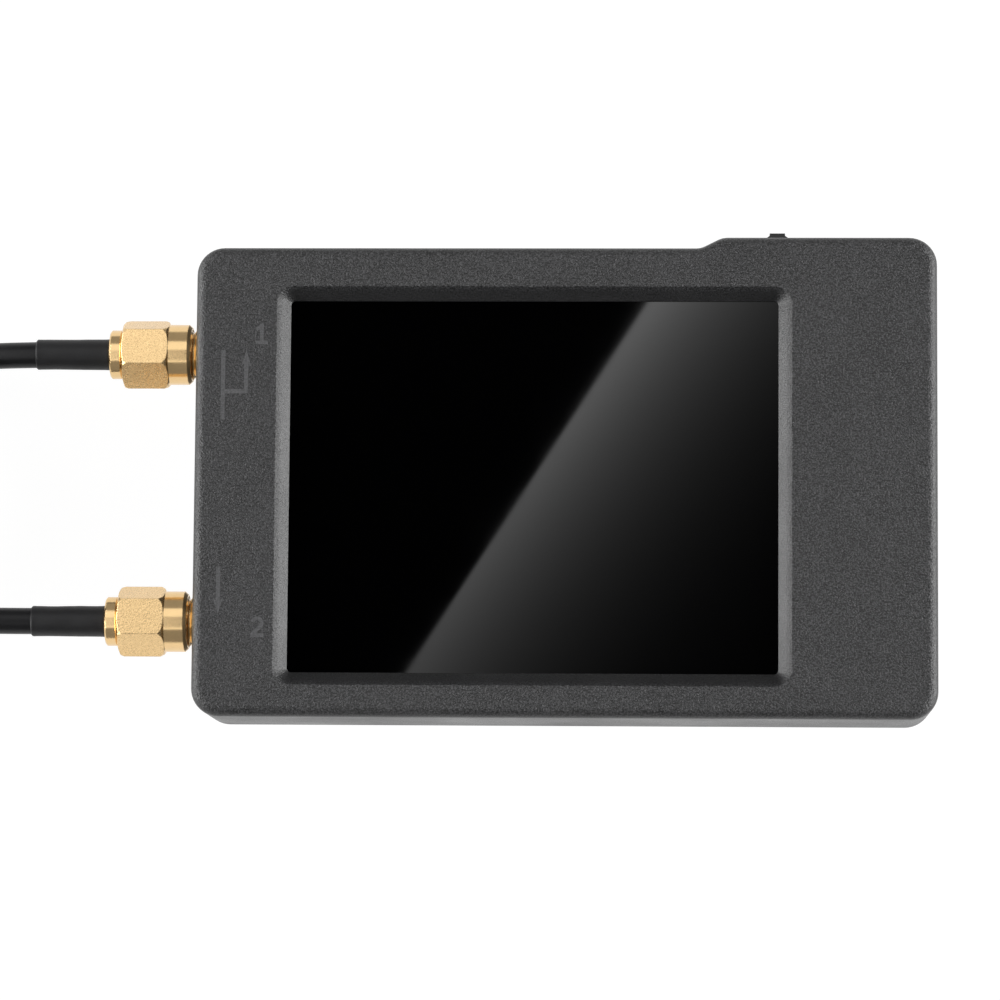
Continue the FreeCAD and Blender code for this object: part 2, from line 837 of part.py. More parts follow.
def jack_linings():
    insulators = []
    contacts = []
    for number, side in ((1, 1), (2, -1)):
        insulator = turned(f"jack_insulator_{number}", [
            (jack_back, d.contact_radius + d.fit),
            (plane - d.fit, d.contact_radius + d.fit),
            (plane - d.fit, d.insulator_radius - d.fit),
            (jack_back, d.insulator_radius - d.fit),
        ])
        insulators.append(jack_frame(insulator, side))
        tail_end = jack_back - d.jack_leg_length * 0.8
        socket_bottom = plane - d.jack_mouth_depth * 1.5
        contact = turned(f"jack_contact_{number}", [
            (tail_end, ZERO),
            (tail_end, d.pin_radius),
            (jack_back + d.slip, d.pin_radius),
            (jack_back + d.slip, d.contact_radius),
            (plane - d.slip, d.contact_radius),
            (plane - d.slip, d.pin_radius + d.fit),
            (socket_bottom, d.pin_radius + d.fit),
            (socket_bottom, ZERO),
        ])
        contacts.append(jack_frame(contact, side))
    return [group("jack_insulators", insulators), group("jack_contacts", contacts)]


# Plugs. A near plug starts at the left wall and points away from it, and a far plug lies at
# the end of its cable and points the other way, so each piece is made once per plug in the
# plug's own frame and then placed

# where the cables run: distances are measured outward from the left wall
FAR_REACH = {1: 86.0, 2: 96.5}
FAR_SIDE = {1: 17.9, 2: -18.2}
far_height = d.hex_flats / math.sqrt(3) + d.seat


def plug_frame(item, end, number):
    if end == "near":
        return jack_frame(item, 1 if number == 1 else -1)
    x = left - FAR_REACH[number] - cable_start
    return place(item, x, as_size(FAR_SIDE[number]), far_height, FreeCAD.Rotation())


def plug_body(name):
    shoulder = d.jack_radius - d.seat
    inner_end = flange_end - d.seat * 2
    stem_bore = d.contact_radius + d.seat * 2.5
    groove = d.neck_radius - d.ring_depth
    half = d.ring_width / 2 + d.fit
    return turned(name, [
        (plane, d.insulator_radius),
        (inner_end, d.insulator_radius),
        (inner_end, stem_bore),
        (cable_start, stem_bore),
        (cable_start, d.cable_radius),
        (flange_end, d.cable_radius),
        (flange_end, d.flange_radius - d.seat * 2),
        (flange_end - d.seat * 2, d.flange_radius),
        (flange_start + d.seat * 2, d.flange_radius),
        (flange_start, d.flange_radius - d.seat * 2),
        (flange_start, d.neck_radius),
        (ring_centre + half, d.neck_radius),
        (ring_centre + half, groove),
        (ring_centre - half, groove),
        (ring_centre - half, d.neck_radius),
        (shoulder_end, d.neck_radius),
        (shoulder_end, shoulder),
        (shoulder_start, shoulder),
        (shoulder_start, d.sleeve_radius),
        (plane, d.sleeve_radius),
    ])


def plug_pin(name):
    tip = plane - d.jack_mouth_depth * 1.3
    step = plane + d.slip
    return turned(name, [
        (tip, ZERO),
        (tip, d.pin_radius - d.seat * 2),
        (tip + d.seat * 3, d.pin_radius),
        (step, d.pin_radius),
        (step, d.contact_radius),
        (cable_start - d.slip, d.contact_radius),
        (cable_start - d.slip, ZERO),
    ])


def plug_insulator(name):
    start = plane + d.slip
    bore = d.contact_radius + d.fit
    inner_end = flange_end - d.seat * 2
    return turned(name, [
        (start, bore),
        (cable_start - d.fit, bore),
        (cable_start - d.fit, d.contact_radius + d.seat * 2.5 - d.fit),
        (inner_end - d.fit, d.contact_radius + d.seat * 2.5 - d.fit),
        (inner_end - d.fit, d.insulator_radius - d.fit),
        (start, d.insulator_radius - d.fit),
    ])


def plug_boot(name):
    inner = d.cable_radius + d.fit
    return turned(name, [
        (boot_start, inner),
        (boot_end, inner),
        (boot_end, d.boot_radius - d.seat),
        (boot_end - d.seat * 3, d.boot_radius),
        (boot_start, d.boot_radius),
    ])


def snap_ring(name):
    half = d.ring_width / 2
    inner = d.neck_radius - d.ring_depth + d.fit
    outer = d.neck_radius + d.ring_depth * 0.8
    ring = turned(f"{name}_hoop", [
        (ring_centre - half, inner),
        (ring_centre + half, inner),
        (ring_centre + half, outer),
        (ring_centre - half, outer),
    ])
    gap = block(f"{name}_gap", (ring_centre - d.ring_width, ring_centre + d.ring_width),
                (-d.ring_width, d.ring_width), (inner / 2, outer * 1.2))
    return cut(name, ring, gap)


# The coupling nut: round collar and hexagon in one, with rounded ends, threaded bore, and a
# narrower bore behind with a groove for the snap ring
def coupling_nut(name, corner_turn):
    collar_end = d.nut_gap + d.collar_length
    corner = d.hex_flats / math.sqrt(3)
    soft = d.seat * 4
    round_end = d.hex_rounding
    blank = turned(f"{name}_blank", [
        (d.nut_gap, ZERO),
        (d.nut_gap, d.collar_radius - soft),
        (d.nut_gap + soft, d.collar_radius),
        (collar_end, d.collar_radius),
        (collar_end + round_end * 0.3, corner - round_end * 0.45),
        (collar_end + round_end, corner),
        (nut_end - round_end, corner),
        (nut_end - round_end * 0.3, corner - round_end * 0.3),
        (nut_end, corner - round_end),
        (nut_end, ZERO),
    ])
    prism = document.addObject("Part::Prism", f"{name}_hexagon")
    prism.Label = f"{name}_hexagon"
    prism.Polygon = 6
    bind(prism, Circumradius=corner, Height=nut_end - collar_end)
    rotation = FreeCAD.Rotation(V(1, 0, 0), corner_turn).multiply(FreeCAD.Rotation(V(1, 0, 1), 180))
    place(prism, collar_end, ZERO, ZERO, rotation)
    collar = rod(f"{name}_collar", d.collar_radius, d.collar_length + d.free, (d.nut_gap, ZERO, ZERO), ALONG_X)
    section = fuse(f"{name}_section", [prism, collar])
    outside = document.addObject("Part::Common", f"{name}_outside")
    outside.Label = f"{name}_outside"
    outside.Base = blank
    outside.Tool = section
    thread = d.jack_radius + d.slip
    narrow = d.neck_radius + d.slip
    ring_room = d.neck_radius + d.ring_depth * 0.8 + d.slip
    half = d.ring_width / 2 + d.slip
    bore = turned(f"{name}_bore", [
        (d.nut_gap - d.free, ZERO),
        (d.nut_gap - d.free, thread + d.seat * 3),
        (d.nut_gap + d.seat * 2, thread),
        (nut_seat, thread),
        (nut_seat, narrow),
        (ring_centre - half, narrow),
        (ring_centre - half, ring_room),
        (ring_centre + half, ring_room),
        (ring_centre + half, narrow),
        (nut_end + d.free, narrow),
        (nut_end + d.free, ZERO),
    ])
    return cut(name, outside, bore)


# how far each nut was turned from a corner straight up when it was tightened, in degrees
NUT_TURN = {"near_nut_1": -21.3, "near_nut_2": -24.9, "far_nut_1": 8.0, "far_nut_2": 21.0}


# A near piece stands on the wall by its frame and a far one at its cable's end. A piece that
# is a boolean result is moved as a whole
def plugs():
    made = []
    shared = {"pins": plug_pin, "insulators": plug_insulator, "snap_rings": snap_ring}
    for number in (1, 2):
        for end in ("near", "far"):
            nut_name = f"{end}_nut_{number}"
            pieces = [
                coupling_nut(nut_name, NUT_TURN[nut_name]),
                plug_body(f"{end}_plug_{number}"),
                plug_boot(f"{end}_boot_{number}"),
            ]
            made += [plug_frame(piece, end, number) for piece in pieces]
    for end in ("near", "far"):
        for kind, maker in shared.items():
            pieces = [plug_frame(maker(f"{end}_{kind}_{number}"), end, number) for number in (1, 2)]
            made.append(group(f"{end}_{kind}", pieces))
    return made


# The cables. Each leaves its plug straight, runs to a coil of two turns in two layers and
# ends in a far plug beyond it. The second cable's coil lies on the first one's

def biarc(start, start_way, end, end_way):
    # two tangent arcs from one point and direction to another
    across = end - start
    both = start_way + end_way
    shortfall = 2 * (1 - start_way.dot(end_way))
    along = across.dot(both)
    reach = (-along + math.sqrt(along * along + shortfall * across.dot(across))) / shortfall
    first_corner = start + start_way * reach
    last_corner = end - end_way * reach
    joint = (first_corner + last_corner) * 0.5
    return [one_arc(start, first_corner, joint), one_arc(joint, last_corner, end)]


def one_arc(start, corner, end):
    middle = (start + end) * 0.5
    height = (corner - middle).Length
    half_chord = (end - start).Length / 2
    rise = half_chord * math.tan(math.atan2(height, half_chord) / 2)
    return Part.Arc(start, middle + (corner - middle).normalize() * rise, end).toShape()


TURNS = 2


def coil_point(angle, centre, side, radius, pitch, low):
    # steadily in for one turn and out for the next, climbing a layer round the reversal
    turn = angle / (2 * math.pi)
    inward = min(turn, TURNS - turn)
    ring = radius + pitch / 2 - pitch * inward
    climb = min(max((turn - 0.75) / 0.5, 0), 1)
    height = low + pitch * (1 - math.cos(math.pi * climb)) / 2
    return V(centre.x - ring * math.sin(angle), centre.y + side * ring * math.cos(angle), height)


def coil_edges(centre, side, radius, pitch, low, straight):
    def spot(angle):
        return coil_point(angle, centre, side, radius, pitch, low)

    last = 2 * math.pi * TURNS
    step = math.pi / 2
    small = 1e-3
    away = V(-1, 0, 0)
    nodes = []
    for index in range(TURNS * 4 + 1):
        angle = index * step
        if angle in (0, last):
            way = away
        else:
            way = (spot(angle + small) - spot(angle - small)).normalize()
        nodes.append((spot(angle), way))
    edges = [Part.LineSegment(nodes[0][0] - away * straight, nodes[0][0]).toShape()]
    for (start, start_way), (end, end_way) in zip(nodes, nodes[1:]):
        edges += biarc(start, start_way, end, end_way)
    edges.append(Part.LineSegment(nodes[-1][0], nodes[-1][0] + away * straight).toShape())
    return edges


def least_gap(edges, diameter):
    # least distance of the tube to itself, measured on points along its path
    points = []
    travelled = 0
    for edge in edges:
        count = max(2, int(edge.Length / 0.5))
        for index in range(count):
            first, final = edge.ParameterRange
            points.append((travelled + edge.Length * index / count,
                           edge.valueAt(first + (final - first) * index / count)))
        travelled += edge.Length
    least = 1e9
    for index, (place_of, point) in enumerate(points):
        for other_place, other in points[index + 1:]:
            if other_place - place_of > diameter * 4:
                least = min(least, point.distanceToPoint(other))
    return least - diameter


# A tie: a flat band round the two layers, its ends twisted into a stub on the outside
def tie(name, place_of, outward, low, high):
    r = d.cable_radius.number
    t = d.tie_thickness.number
    gap = d.tie_gap.number
    w = d.tie_width.number
    inner = r + gap
    outer = inner + t
    bottom_z = low - outer
    top_z = high + outer
    x = place_of.x - w / 2
    band = Part.makeBox(w, outer * 2, top_z - bottom_z, V(x, place_of.y - outer, bottom_z))
    hole = Part.makeBox(w * 2, inner * 2, top_z - bottom_z - t * 2, V(x - w / 2, place_of.y - inner, bottom_z + t))
    along = [e for e in band.Edges if abs(e.tangentAt(e.FirstParameter).x) > 0.9]
    band = band.makeFillet(outer * 0.6, along)
    along = [e for e in hole.Edges if abs(e.tangentAt(e.FirstParameter).x) > 0.9]
    hole = hole.makeFillet(inner * 0.4, along)
    stub_start = V(place_of.x, place_of.y + outward * (outer - t / 2), (low + high) / 2)
    stub = Part.makeCylinder(t * 1.4, w * 2, stub_start, V(0, outward, 0))
    return solid(name, band.cut(hole).fuse(stub))


def cables():
    r = d.cable_radius.number
    pitch = d.layer_pitch.number
    wall_x = left.number
    start_u = cable_start.number
    turn_u = d.coil_centre.number
    straight = 2 * r
    y_port = port_y.number
    z_port = port_height.number
    z_far = far_height.number
    lift = r + d.tie_gap.number + d.tie_thickness.number
    low_1 = lift
    low_2 = low_1 + pitch + lift + r + d.seat.number
    coil_start = turn_u - straight
    coil_end = turn_u + straight
    radii = {1: d.lower_coil_radius.number, 2: d.upper_coil_radius.number}
    low = {1: low_1, 2: low_2}
    # points as (distance from the left wall, y, z)
    leads = {
        1: [(start_u, y_port, z_port), (26.5, y_port, z_port), (38.5, y_port, low_1), (coil_start, y_port, low_1)],
        2: [(start_u, -y_port, z_port), (26.5, -y_port, z_port), (38.0, -y_port, low_2), (coil_start, -y_port, low_2)],
    }
    tails = {
        1: [(coil_end, y_port, low_1 + pitch), (62.2, y_port, low_1 + pitch), (74.0, FAR_SIDE[1], z_far),
            (FAR_REACH[1], FAR_SIDE[1], z_far)],
        2: [(coil_end, -y_port, low_2 + pitch), (63.0, -y_port, low_2 + pitch), (72.5, -17.7, 10.8),
            (84.5, FAR_SIDE[2], z_far), (FAR_REACH[2], FAR_SIDE[2], z_far)],
    }
    made = []
    for number, side in ((1, 1), (2, -1)):
        radius = radii[number]
        centre = V(wall_x - turn_u, side * (y_port - radius - pitch / 2), 0)
        edges = coil_edges(centre, side, radius, pitch, low[number], straight)
        name = f"coil_{number}"
        coil = sweep(name, edges, r)
        print(f"{name}: least gap to itself {least_gap(edges, 2 * r):.2f}")
        lead = tube(f"lead_{number}", [V(wall_x - u, y, z) for u, y, z in leads[number]], r)
        tail = tube(f"tail_{number}", [V(wall_x - u, y, z) for u, y, z in tails[number]], r)
        middle = coil_point(math.pi, centre, side, radius, pitch, low[number])
        band = tie(f"tie_{number}", middle, -side, low[number], low[number] + pitch)
        made += [lead, coil, tail, band]
    return made


# Jog lever: a sheet-metal frame on the board, a plunger that is pushed in, and on the
# plunger's pivot a lever that swings to either side

def jog():
    frame_y = (wall_inner - d.seat - d.jog_frame_depth, wall_inner - d.seat)
    half = d.jog_frame_width / 2
    outside = block("jog_frame_outside", about(jog_x, d.jog_frame_width), frame_y,
                    (board_high, board_high + d.jog_frame_height))
    inside = block(
        "jog_frame_inside",
        (jog_x - half + d.jog_sheet, jog_x + half - d.jog_sheet),
        (frame_y[0] + d.jog_sheet, frame_y[1] + d.free),
        (board_high + d.jog_sheet, board_high + d.jog_frame_height - d.jog_sheet),
    )
    frame = cut("jog_frame", outside, inside)
    pivot_y = frame_y[0] + d.jog_frame_depth * 0.42
    plate_low = board_high + d.jog_sheet + d.slip
    plate_high = jog_lever_low - d.slip
    plate_y = (frame_y[0] + d.jog_sheet + d.jog_travel + d.slip * 2, pivot_y + d.jog_hub_radius)
    plate = block("jog_plunger_plate",
                  about(jog_x, d.jog_frame_width - (d.jog_sheet + d.seat) * 2), plate_y,
                  (plate_low, plate_high))
    pin = rod("jog_plunger_pin", d.jog_pivot_radius, jog_lever_high - plate_low, (jog_x, pivot_y, plate_low))
    plunger = fuse("jog_plunger", [plate, pin])
    base = d.jog_lever_base / 2
    neck = d.jog_hub_radius * 0.8
    tip = d.jog_lever_tip / 2
    x = jog_x
    arm = slab("jog_arm", [
        (x - neck, pivot_y),
        (x + neck, pivot_y),
        (x + neck, wall_inner - d.free),
        (x + base, wall_inner + d.free),
        (x + base, bump_top + d.jog_skirt_reach),
        (x + tip, bump_top + d.jog_slope_reach),
        (x + tip, bump_top + d.jog_lever_reach),
        (x - tip, bump_top + d.jog_lever_reach),
        (x - tip, bump_top + d.jog_slope_reach),
        (x - base, bump_top + d.jog_skirt_reach),
        (x - base, wall_inner + d.free),
        (x - neck, wall_inner - d.free),
    ], jog_lever_low, jog_lever_high)
    thick = jog_lever_high - jog_lever_low
    hub = rod("jog_hub", d.jog_hub_radius, thick, (x, pivot_y, jog_lever_low))
    hole = rod("jog_hole", d.jog_pivot_radius + d.slip, thick + d.free * 2, (x, pivot_y, jog_lever_low - d.free))
    lever = cut("jog_lever", fuse("jog_lever_blank", [arm, hub]), hole)
    print("jog pivot", jog_x.number, pivot_y.number)
    return [frame, plunger, lever]


# Data socket: a drawn steel shell, closed behind, round a tongue

def data_socket():
    mouth = bump_top - d.socket_recess
    back = mouth - d.socket_depth
    middle = (socket_z[0] + socket_z[1]) / 2
    skin = d.socket_sheet
    outside = stadium("socket_outside", about(socket_x, d.socket_width), socket_z, (back, mouth))
    inside = stadium("socket_inside", about(socket_x, d.socket_width - skin * 2),
                     (socket_z[0] + skin, socket_z[1] - skin), (back + skin, mouth + d.free))
    shell = cut("usb_shell", outside, inside)
    root_y = back + skin
    tongue = block("usb_tongue_blade", about(socket_x, d.tongue_width),
                   (root_y, root_y + d.tongue_length + skin * 4), about(middle, d.tongue_height))
    heel = block("usb_tongue_heel", about(socket_x, d.tongue_width - skin * 2),
                 (root_y, root_y + skin * 4), (socket_z[0] + skin * 1.1, socket_z[1] - skin * 1.1))
    return [shell, fuse("usb_tongue", [tongue, heel])]


# Slide switch: a small frame on the board with a slot, and a knob that slides along X

def slide_switch():
    face = wall_inner - d.seat
    frame_y = (face - d.switch_depth, face)
    outside = block("switch_outside", about(switch_x, d.switch_width), frame_y,
                    (board_high, board_high + d.switch_height))
    room = d.knob_width + d.knob_travel + d.seat * 2
    inside = block("switch_inside", about(switch_x, room), (face - d.switch_depth * 0.7, face + d.free),
                   about(switch_middle, d.knob_height + d.slip * 2))
    frame = cut("slide_switch_frame", outside, inside)
    knob_x = switch_x - d.knob_travel / 2
    knob = slab("power_knob", rectangle(knob_x - d.knob_width / 2, knob_x + d.knob_width / 2,
                                        face - d.switch_depth * 0.7 + d.slip, face + d.knob_reach),
                switch_middle - d.knob_height / 2, switch_middle + d.knob_height / 2)
    return [frame, knob]


sub_parts = [front_cover(), rear_cover(), case_screws()]
sub_parts += display()
sub_parts += display_flex()
sub_parts.append(main_board())
sub_parts += board_parts()
sub_parts += battery()
sub_parts += [jack(1, 1), jack(2, -1)]
sub_parts += jack_linings()
sub_parts += plugs()
sub_parts += cables()
sub_parts += jog()
sub_parts += data_socket()
sub_parts += slide_switch()
document.recompute()

for item in document.Objects:
    if "Invalid" in item.State or "Error" in item.State:
        raise RuntimeError(f"{item.Label} failed: {item.State}")
for item in sub_parts:
    if item.Shape.isNull() or not item.Shape.isValid():
        raise RuntimeError(f"{item.Label} has no valid shape")
for item in sub_parts:
    item.Shape.exportStep(f"parts/{item.Label}.step")
print(len(sub_parts), "sub-parts")
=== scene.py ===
# Pocket antenna analyzer on a white table, seen from above, with its two coaxial cables.
# Units are metres, and millimetres where a note says so. X runs right along the screen,
# Y to the edge with the jog lever, Z up.
import json
import math

import bmesh
import bpy
import numpy as np
from mathutils import Matrix, Quaternion, Vector


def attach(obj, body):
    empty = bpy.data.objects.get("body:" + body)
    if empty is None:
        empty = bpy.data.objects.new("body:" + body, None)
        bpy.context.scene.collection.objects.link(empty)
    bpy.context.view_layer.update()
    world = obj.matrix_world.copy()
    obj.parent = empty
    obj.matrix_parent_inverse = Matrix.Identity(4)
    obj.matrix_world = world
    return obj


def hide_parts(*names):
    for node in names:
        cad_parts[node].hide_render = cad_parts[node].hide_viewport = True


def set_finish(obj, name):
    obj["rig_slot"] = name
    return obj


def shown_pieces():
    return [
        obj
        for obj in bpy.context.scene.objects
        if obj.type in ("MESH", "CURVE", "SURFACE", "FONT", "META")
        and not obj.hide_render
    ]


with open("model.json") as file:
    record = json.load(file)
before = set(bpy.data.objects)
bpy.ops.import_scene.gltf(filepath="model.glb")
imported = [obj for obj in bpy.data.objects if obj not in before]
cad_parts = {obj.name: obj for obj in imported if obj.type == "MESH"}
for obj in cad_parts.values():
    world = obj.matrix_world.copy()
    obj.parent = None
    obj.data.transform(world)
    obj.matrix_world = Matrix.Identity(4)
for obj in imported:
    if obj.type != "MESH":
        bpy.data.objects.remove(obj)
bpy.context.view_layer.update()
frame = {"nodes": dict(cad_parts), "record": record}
nodes = frame["nodes"]
mm = 0.001


def placeObject(name, data):
    made = bpy.data.objects.new(name, data)
    bpy.context.scene.collection.objects.link(made)
    return made


# The camera looks nearly straight down, from a little to the right and over the near long side.
cameraSetup = {
    "aim": (-8.64, -1.47, 9.0),  # mm, the point in the middle of the picture
    "distance": 585.0,  # mm
    "tilt": 6.6, "lean": 2.4,  # degrees from straight down, towards the near side and to the right
    "roll": 0.45,  # degrees
    "lens": 161.7, "sensor": 36.0,  # mm
    "clip": (0.01, 20.0),
}


def makeCamera(setup):
    lens = bpy.data.cameras.new("camera")
    lens.lens = setup["lens"]
    lens.sensor_width = setup["sensor"]
    lens.clip_start, lens.clip_end = setup["clip"]
    camera = placeObject("camera", lens)
    tilt, lean, roll = (math.radians(setup[key]) for key in ("tilt", "lean", "roll"))
    away = Vector((math.sin(lean), -math.sin(tilt), math.cos(tilt))).normalized()
    camera.location = (Vector(setup["aim"]) + away * setup["distance"]) * mm
    right = Vector((0, 1, 0)).cross(away).normalized()
    turned = Matrix((right, away.cross(right), away)).transposed().to_quaternion()
    camera.rotation_euler = (turned @ Quaternion((0, 0, 1), roll)).to_euler()
    bpy.context.scene.camera = camera


makeCamera(cameraSetup)
print("stage: camera")


def addMesh(name, points, faces, body, slot, smooth=True):
    mesh = bpy.data.meshes.new(name)
    mesh.from_pydata(points.tolist(), [], faces)
    work = bmesh.new()
    work.from_mesh(mesh)
    bmesh.ops.remove_doubles(work, verts=work.verts, dist=1e-7)
    bmesh.ops.recalc_face_normals(work, faces=work.faces)
    work.to_mesh(mesh)
    work.free()
    piece = placeObject(name, mesh)
    if smooth:
        mesh.shade_smooth()
    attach(piece, body)
    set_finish(piece, slot)
    return piece


def sharpen(piece, angle=35.0):
    # faces that meet at more than this angle keep a crisp edge between them
    piece.data.set_sharp_from_angle(angle=math.radians(angle))


def gridFaces(rows, columns):
    # quads of a grid that closes both ways: round each ring, and from the last ring to the first
    row = np.arange(rows)[:, None]
    column = np.arange(columns)[None, :]
    nextRow = (row + 1) % rows
    nextColumn = (column + 1) % columns
    quads = np.stack([row * columns + column, row * columns + nextColumn,
                      nextRow * columns + nextColumn, nextRow * columns + column], axis=-1)
    return quads.reshape(-1, 4).tolist()


def aroundAxis(along, radius, plug):
    # a turned surface on a plug's axis: one ring of points for each place along it, its radius
    # given for each place and turn, all in mm
    sides = radius.shape[1]
    turn = np.linspace(0, 2 * np.pi, sides, endpoint=False)
    x = plug["start"][0] + plug["sense"] * np.repeat(along[:, None], sides, axis=1)
    y = plug["start"][1] + radius * np.cos(turn)
    z = plug["start"][2] + radius * np.sin(turn)
    return (np.stack([x, y, z], axis=-1) * mm).reshape(-1, 3)


# plugs: where each one's axis starts, in mm, and the way that it points along X
plugs = {
    "near_1": {"start": (-47.775, 17.55, 9.0), "sense": -1.0},
    "near_2": {"start": (-47.775, -17.55, 9.0), "sense": -1.0},
    "far_1": {"start": (-149.325, 17.9, 4.7188), "sense": 1.0},
    "far_2": {"start": (-159.825, -18.2, 4.7188), "sense": 1.0},
}

# Each cable is one spline: out of its plug, down to a coil of two turns in two layers, on to the
# far plug. All in mm.
cableSetup = {
    1: {
        "lead": [(-63.325, 17.55, 9), (-74.275, 17.55, 9), (-86.275, 17.55, 2.325), (-97.025, 17.55, 2.325)],
        "tail": [(-103.925, 17.55, 6.225), (-109.975, 17.55, 6.225), (-121.775, 17.9, 4.7188),
                 (-133.775, 17.9, 4.7188)],
        "radius": 17.4, "centre": -1.8, "side": 1.0, "low": 2.325, "length": 0.2913,
    },
    2: {
        "lead": [(-63.325, -17.55, 9), (-74.275, -17.55, 9), (-85.775, -17.55, 10.375),
                 (-97.025, -17.55, 10.375)],
        "tail": [(-103.925, -17.55, 14.275), (-110.775, -17.55, 14.275), (-120.275, -17.7, 10.8),
                 (-132.275, -18.2, 4.7188), (-144.275, -18.2, 4.7188)],
        "radius": 16.6, "centre": 1.0, "side": -1.0, "low": 10.375, "length": 0.2923,
    },
}
coilSetup = {
    "x": -100.475, "pitch": 3.9, "turns": 2, "perTurn": 24, "diameter": 3.45,
    "climbStart": 0.75, "climbTurns": 0.5,  # the stretch, in turns, over which the second layer is reached
    "order": 3, "steps": 6, "round": 6,  # the spline's order, its steps between points and round the cord
}


def coilPoints(cable, coil):
    # ring radius shrinks by a pitch over the first turn and grows back over the second,
    # and the height climbs one pitch, as half a cosine, round the turning point
    angle = np.linspace(0, 2 * np.pi * coil["turns"], coil["perTurn"] * coil["turns"] + 1)
    turn = angle / (2 * np.pi)
    ring = cable["radius"] + coil["pitch"] * (0.5 - np.minimum(turn, coil["turns"] - turn))
    climb = np.clip((turn - coil["climbStart"]) / coil["climbTurns"], 0, 1)
    height = cable["low"] + coil["pitch"] * (1 - np.cos(np.pi * climb)) / 2
    return np.stack([coil["x"] - ring * np.sin(angle),
                     cable["centre"] + cable["side"] * ring * np.cos(angle), height], axis=-1)


def makeCable(number, cable, coil):
    points = np.concatenate([np.array(cable["lead"], float), coilPoints(cable, coil),
                             np.array(cable["tail"], float)]) * mm
    curve = bpy.data.curves.new(f"cable_{number}", "CURVE")
    curve.dimensions = "3D"
    spline = curve.splines.new("NURBS")
    spline.points.add(len(points) - 1)
    spline.points.foreach_set("co", np.hstack([points, np.ones((len(points), 1))]).ravel())
    spline.order_u = coil["order"]
    spline.use_endpoint_u = True
    spline.resolution_u = coil["steps"]
    spline.points.foreach_set("radius", np.full(len(points), coil["diameter"] / 2 * mm))
    curve.bevel_depth = 1.0  # times each point's radius
    curve.bevel_resolution = coil["round"]
    curve.use_fill_caps = True
    piece = placeObject(f"cable_{number}", curve)
    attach(piece, "case")
    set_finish(piece, "jacket")
    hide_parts(f"lead_{number}", f"coil_{number}", f"tail_{number}")
    return piece


cables = {number: makeCable(number, cable, coilSetup) for number, cable in cableSetup.items()}
print("stage: cables")

# Heat-shrink boots between the plugs and the cables, in mm along each plug's axis.
bootSetup = {
    "start": 12.02, "end": 21.82,
    "outer": 2.025, "inner": 1.75,
    "rings": 70, "sides": 64,
    "stem": (15.85, 0.5),  # where the plug's stem under the tube ends, and how softly that shows
    "sag": 0.035,  # how far the tube shrinks in where there is no stem under it
    "lip": 0.02,  # how much the rims stand proud of the tube
    "rims": ((0.3, 0.35), (0.25, 0.3)),  # place and width of the rim at the plug and at the cable
    "edge": (0.2, 0.16),  # how long and how deep each end is rounded
    "waves": 5, "wave": 0.010, "pace": (0.5, 1.6), "fade": 8,  # waves of uneven shrinking
    "seed": 11, "crease": 50,
}


def makeBoot(end, number, setup, seed):
    # outer skin: full over the plug's stem, drawn in past it, with a rolled rim at each end and
    # long shallow waves round it where it shrank unevenly, then back inside as a plain bore
    along = np.linspace(setup["start"], setup["end"], setup["rings"])
    share = (along - setup["start"]) / (setup["end"] - setup["start"])
    stemEnd, softness = setup["stem"]
    stem = 0.5 - 0.5 * np.tanh((along - stemEnd) / softness)
    outer = setup["outer"] - setup["lip"] - setup["sag"] * (1 - stem)
    (plugRim, plugWidth), (cableRim, cableWidth) = setup["rims"]
    rim = np.exp(-((along - setup["start"] - plugRim) / plugWidth) ** 2)
    rim = rim + np.exp(-((setup["end"] - cableRim - along) / cableWidth) ** 2)
    outer = outer + setup["lip"] * rim
    edge = np.minimum(along - setup["start"], setup["end"] - along)
    edgeLength, edgeDepth = setup["edge"]
    outer = outer - edgeDepth * (1 - np.clip(edge / edgeLength, 0, 1)) ** 2
    turn = np.linspace(0, 2 * np.pi, setup["sides"], endpoint=False)
    draw = np.random.default_rng(seed)
    wave = np.zeros((len(along), setup["sides"]))
    for _ in range(setup["waves"]):
        cycles = draw.integers(1, 4)
        pace = draw.uniform(*setup["pace"])
        shift = draw.uniform(0, 2 * np.pi, 2)
        wave += np.cos(cycles * turn[None, :] + shift[0]) * np.cos(pace * along[:, None] + shift[1])
    ends = np.clip(share * (1 - share) * setup["fade"], 0, 1)[:, None]
    skin = np.minimum(outer[:, None] + setup["wave"] * wave * ends, setup["outer"])
    radius = np.concatenate([skin, np.full((2, setup["sides"]), setup["inner"])])
    places = np.concatenate([along, [setup["end"], setup["start"]]])
    points = aroundAxis(places, radius, plugs[f"{end}_{number}"])
    faces = gridFaces(len(places), setup["sides"])
    piece = addMesh(f"boot_{end}_{number}", points, faces, "case", "boot")
    sharpen(piece, setup["crease"])
    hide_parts(f"{end}_boot_{number}")
    return piece


for index, (end, number) in enumerate((e, n) for e in ("near", "far") for n in (1, 2)):
    makeBoot(end, number, bootSetup, bootSetup["seed"] + index)

# The threads of the ports and of the far nuts, in mm.
threadSetup = {
    "crest": 3.175, "depth": 0.38, "pitch": 0.7056, "perPitch": 12, "sides": 72,
    "flank": (1.35, 0.12),  # how steep a groove is and how flat its crest
}


def threadDepth(along, setup, start, end, fade, sense):
    # a V thread: a triangle wave of place and turn, faded out at both ends of the run
    turn = np.arange(setup["sides"])[None, :] / setup["sides"]
    phase = (along[:, None] / setup["pitch"] + sense * turn) % 1.0
    groove = 1 - np.abs(2 * phase - 1)
    steep, flat = setup["flank"]
    groove = np.clip(groove * steep - flat, 0, 1)
    weight = np.clip(np.minimum(along - start, end - along) / fade, 0, 1)[:, None]
    return setup["depth"] * groove * weight


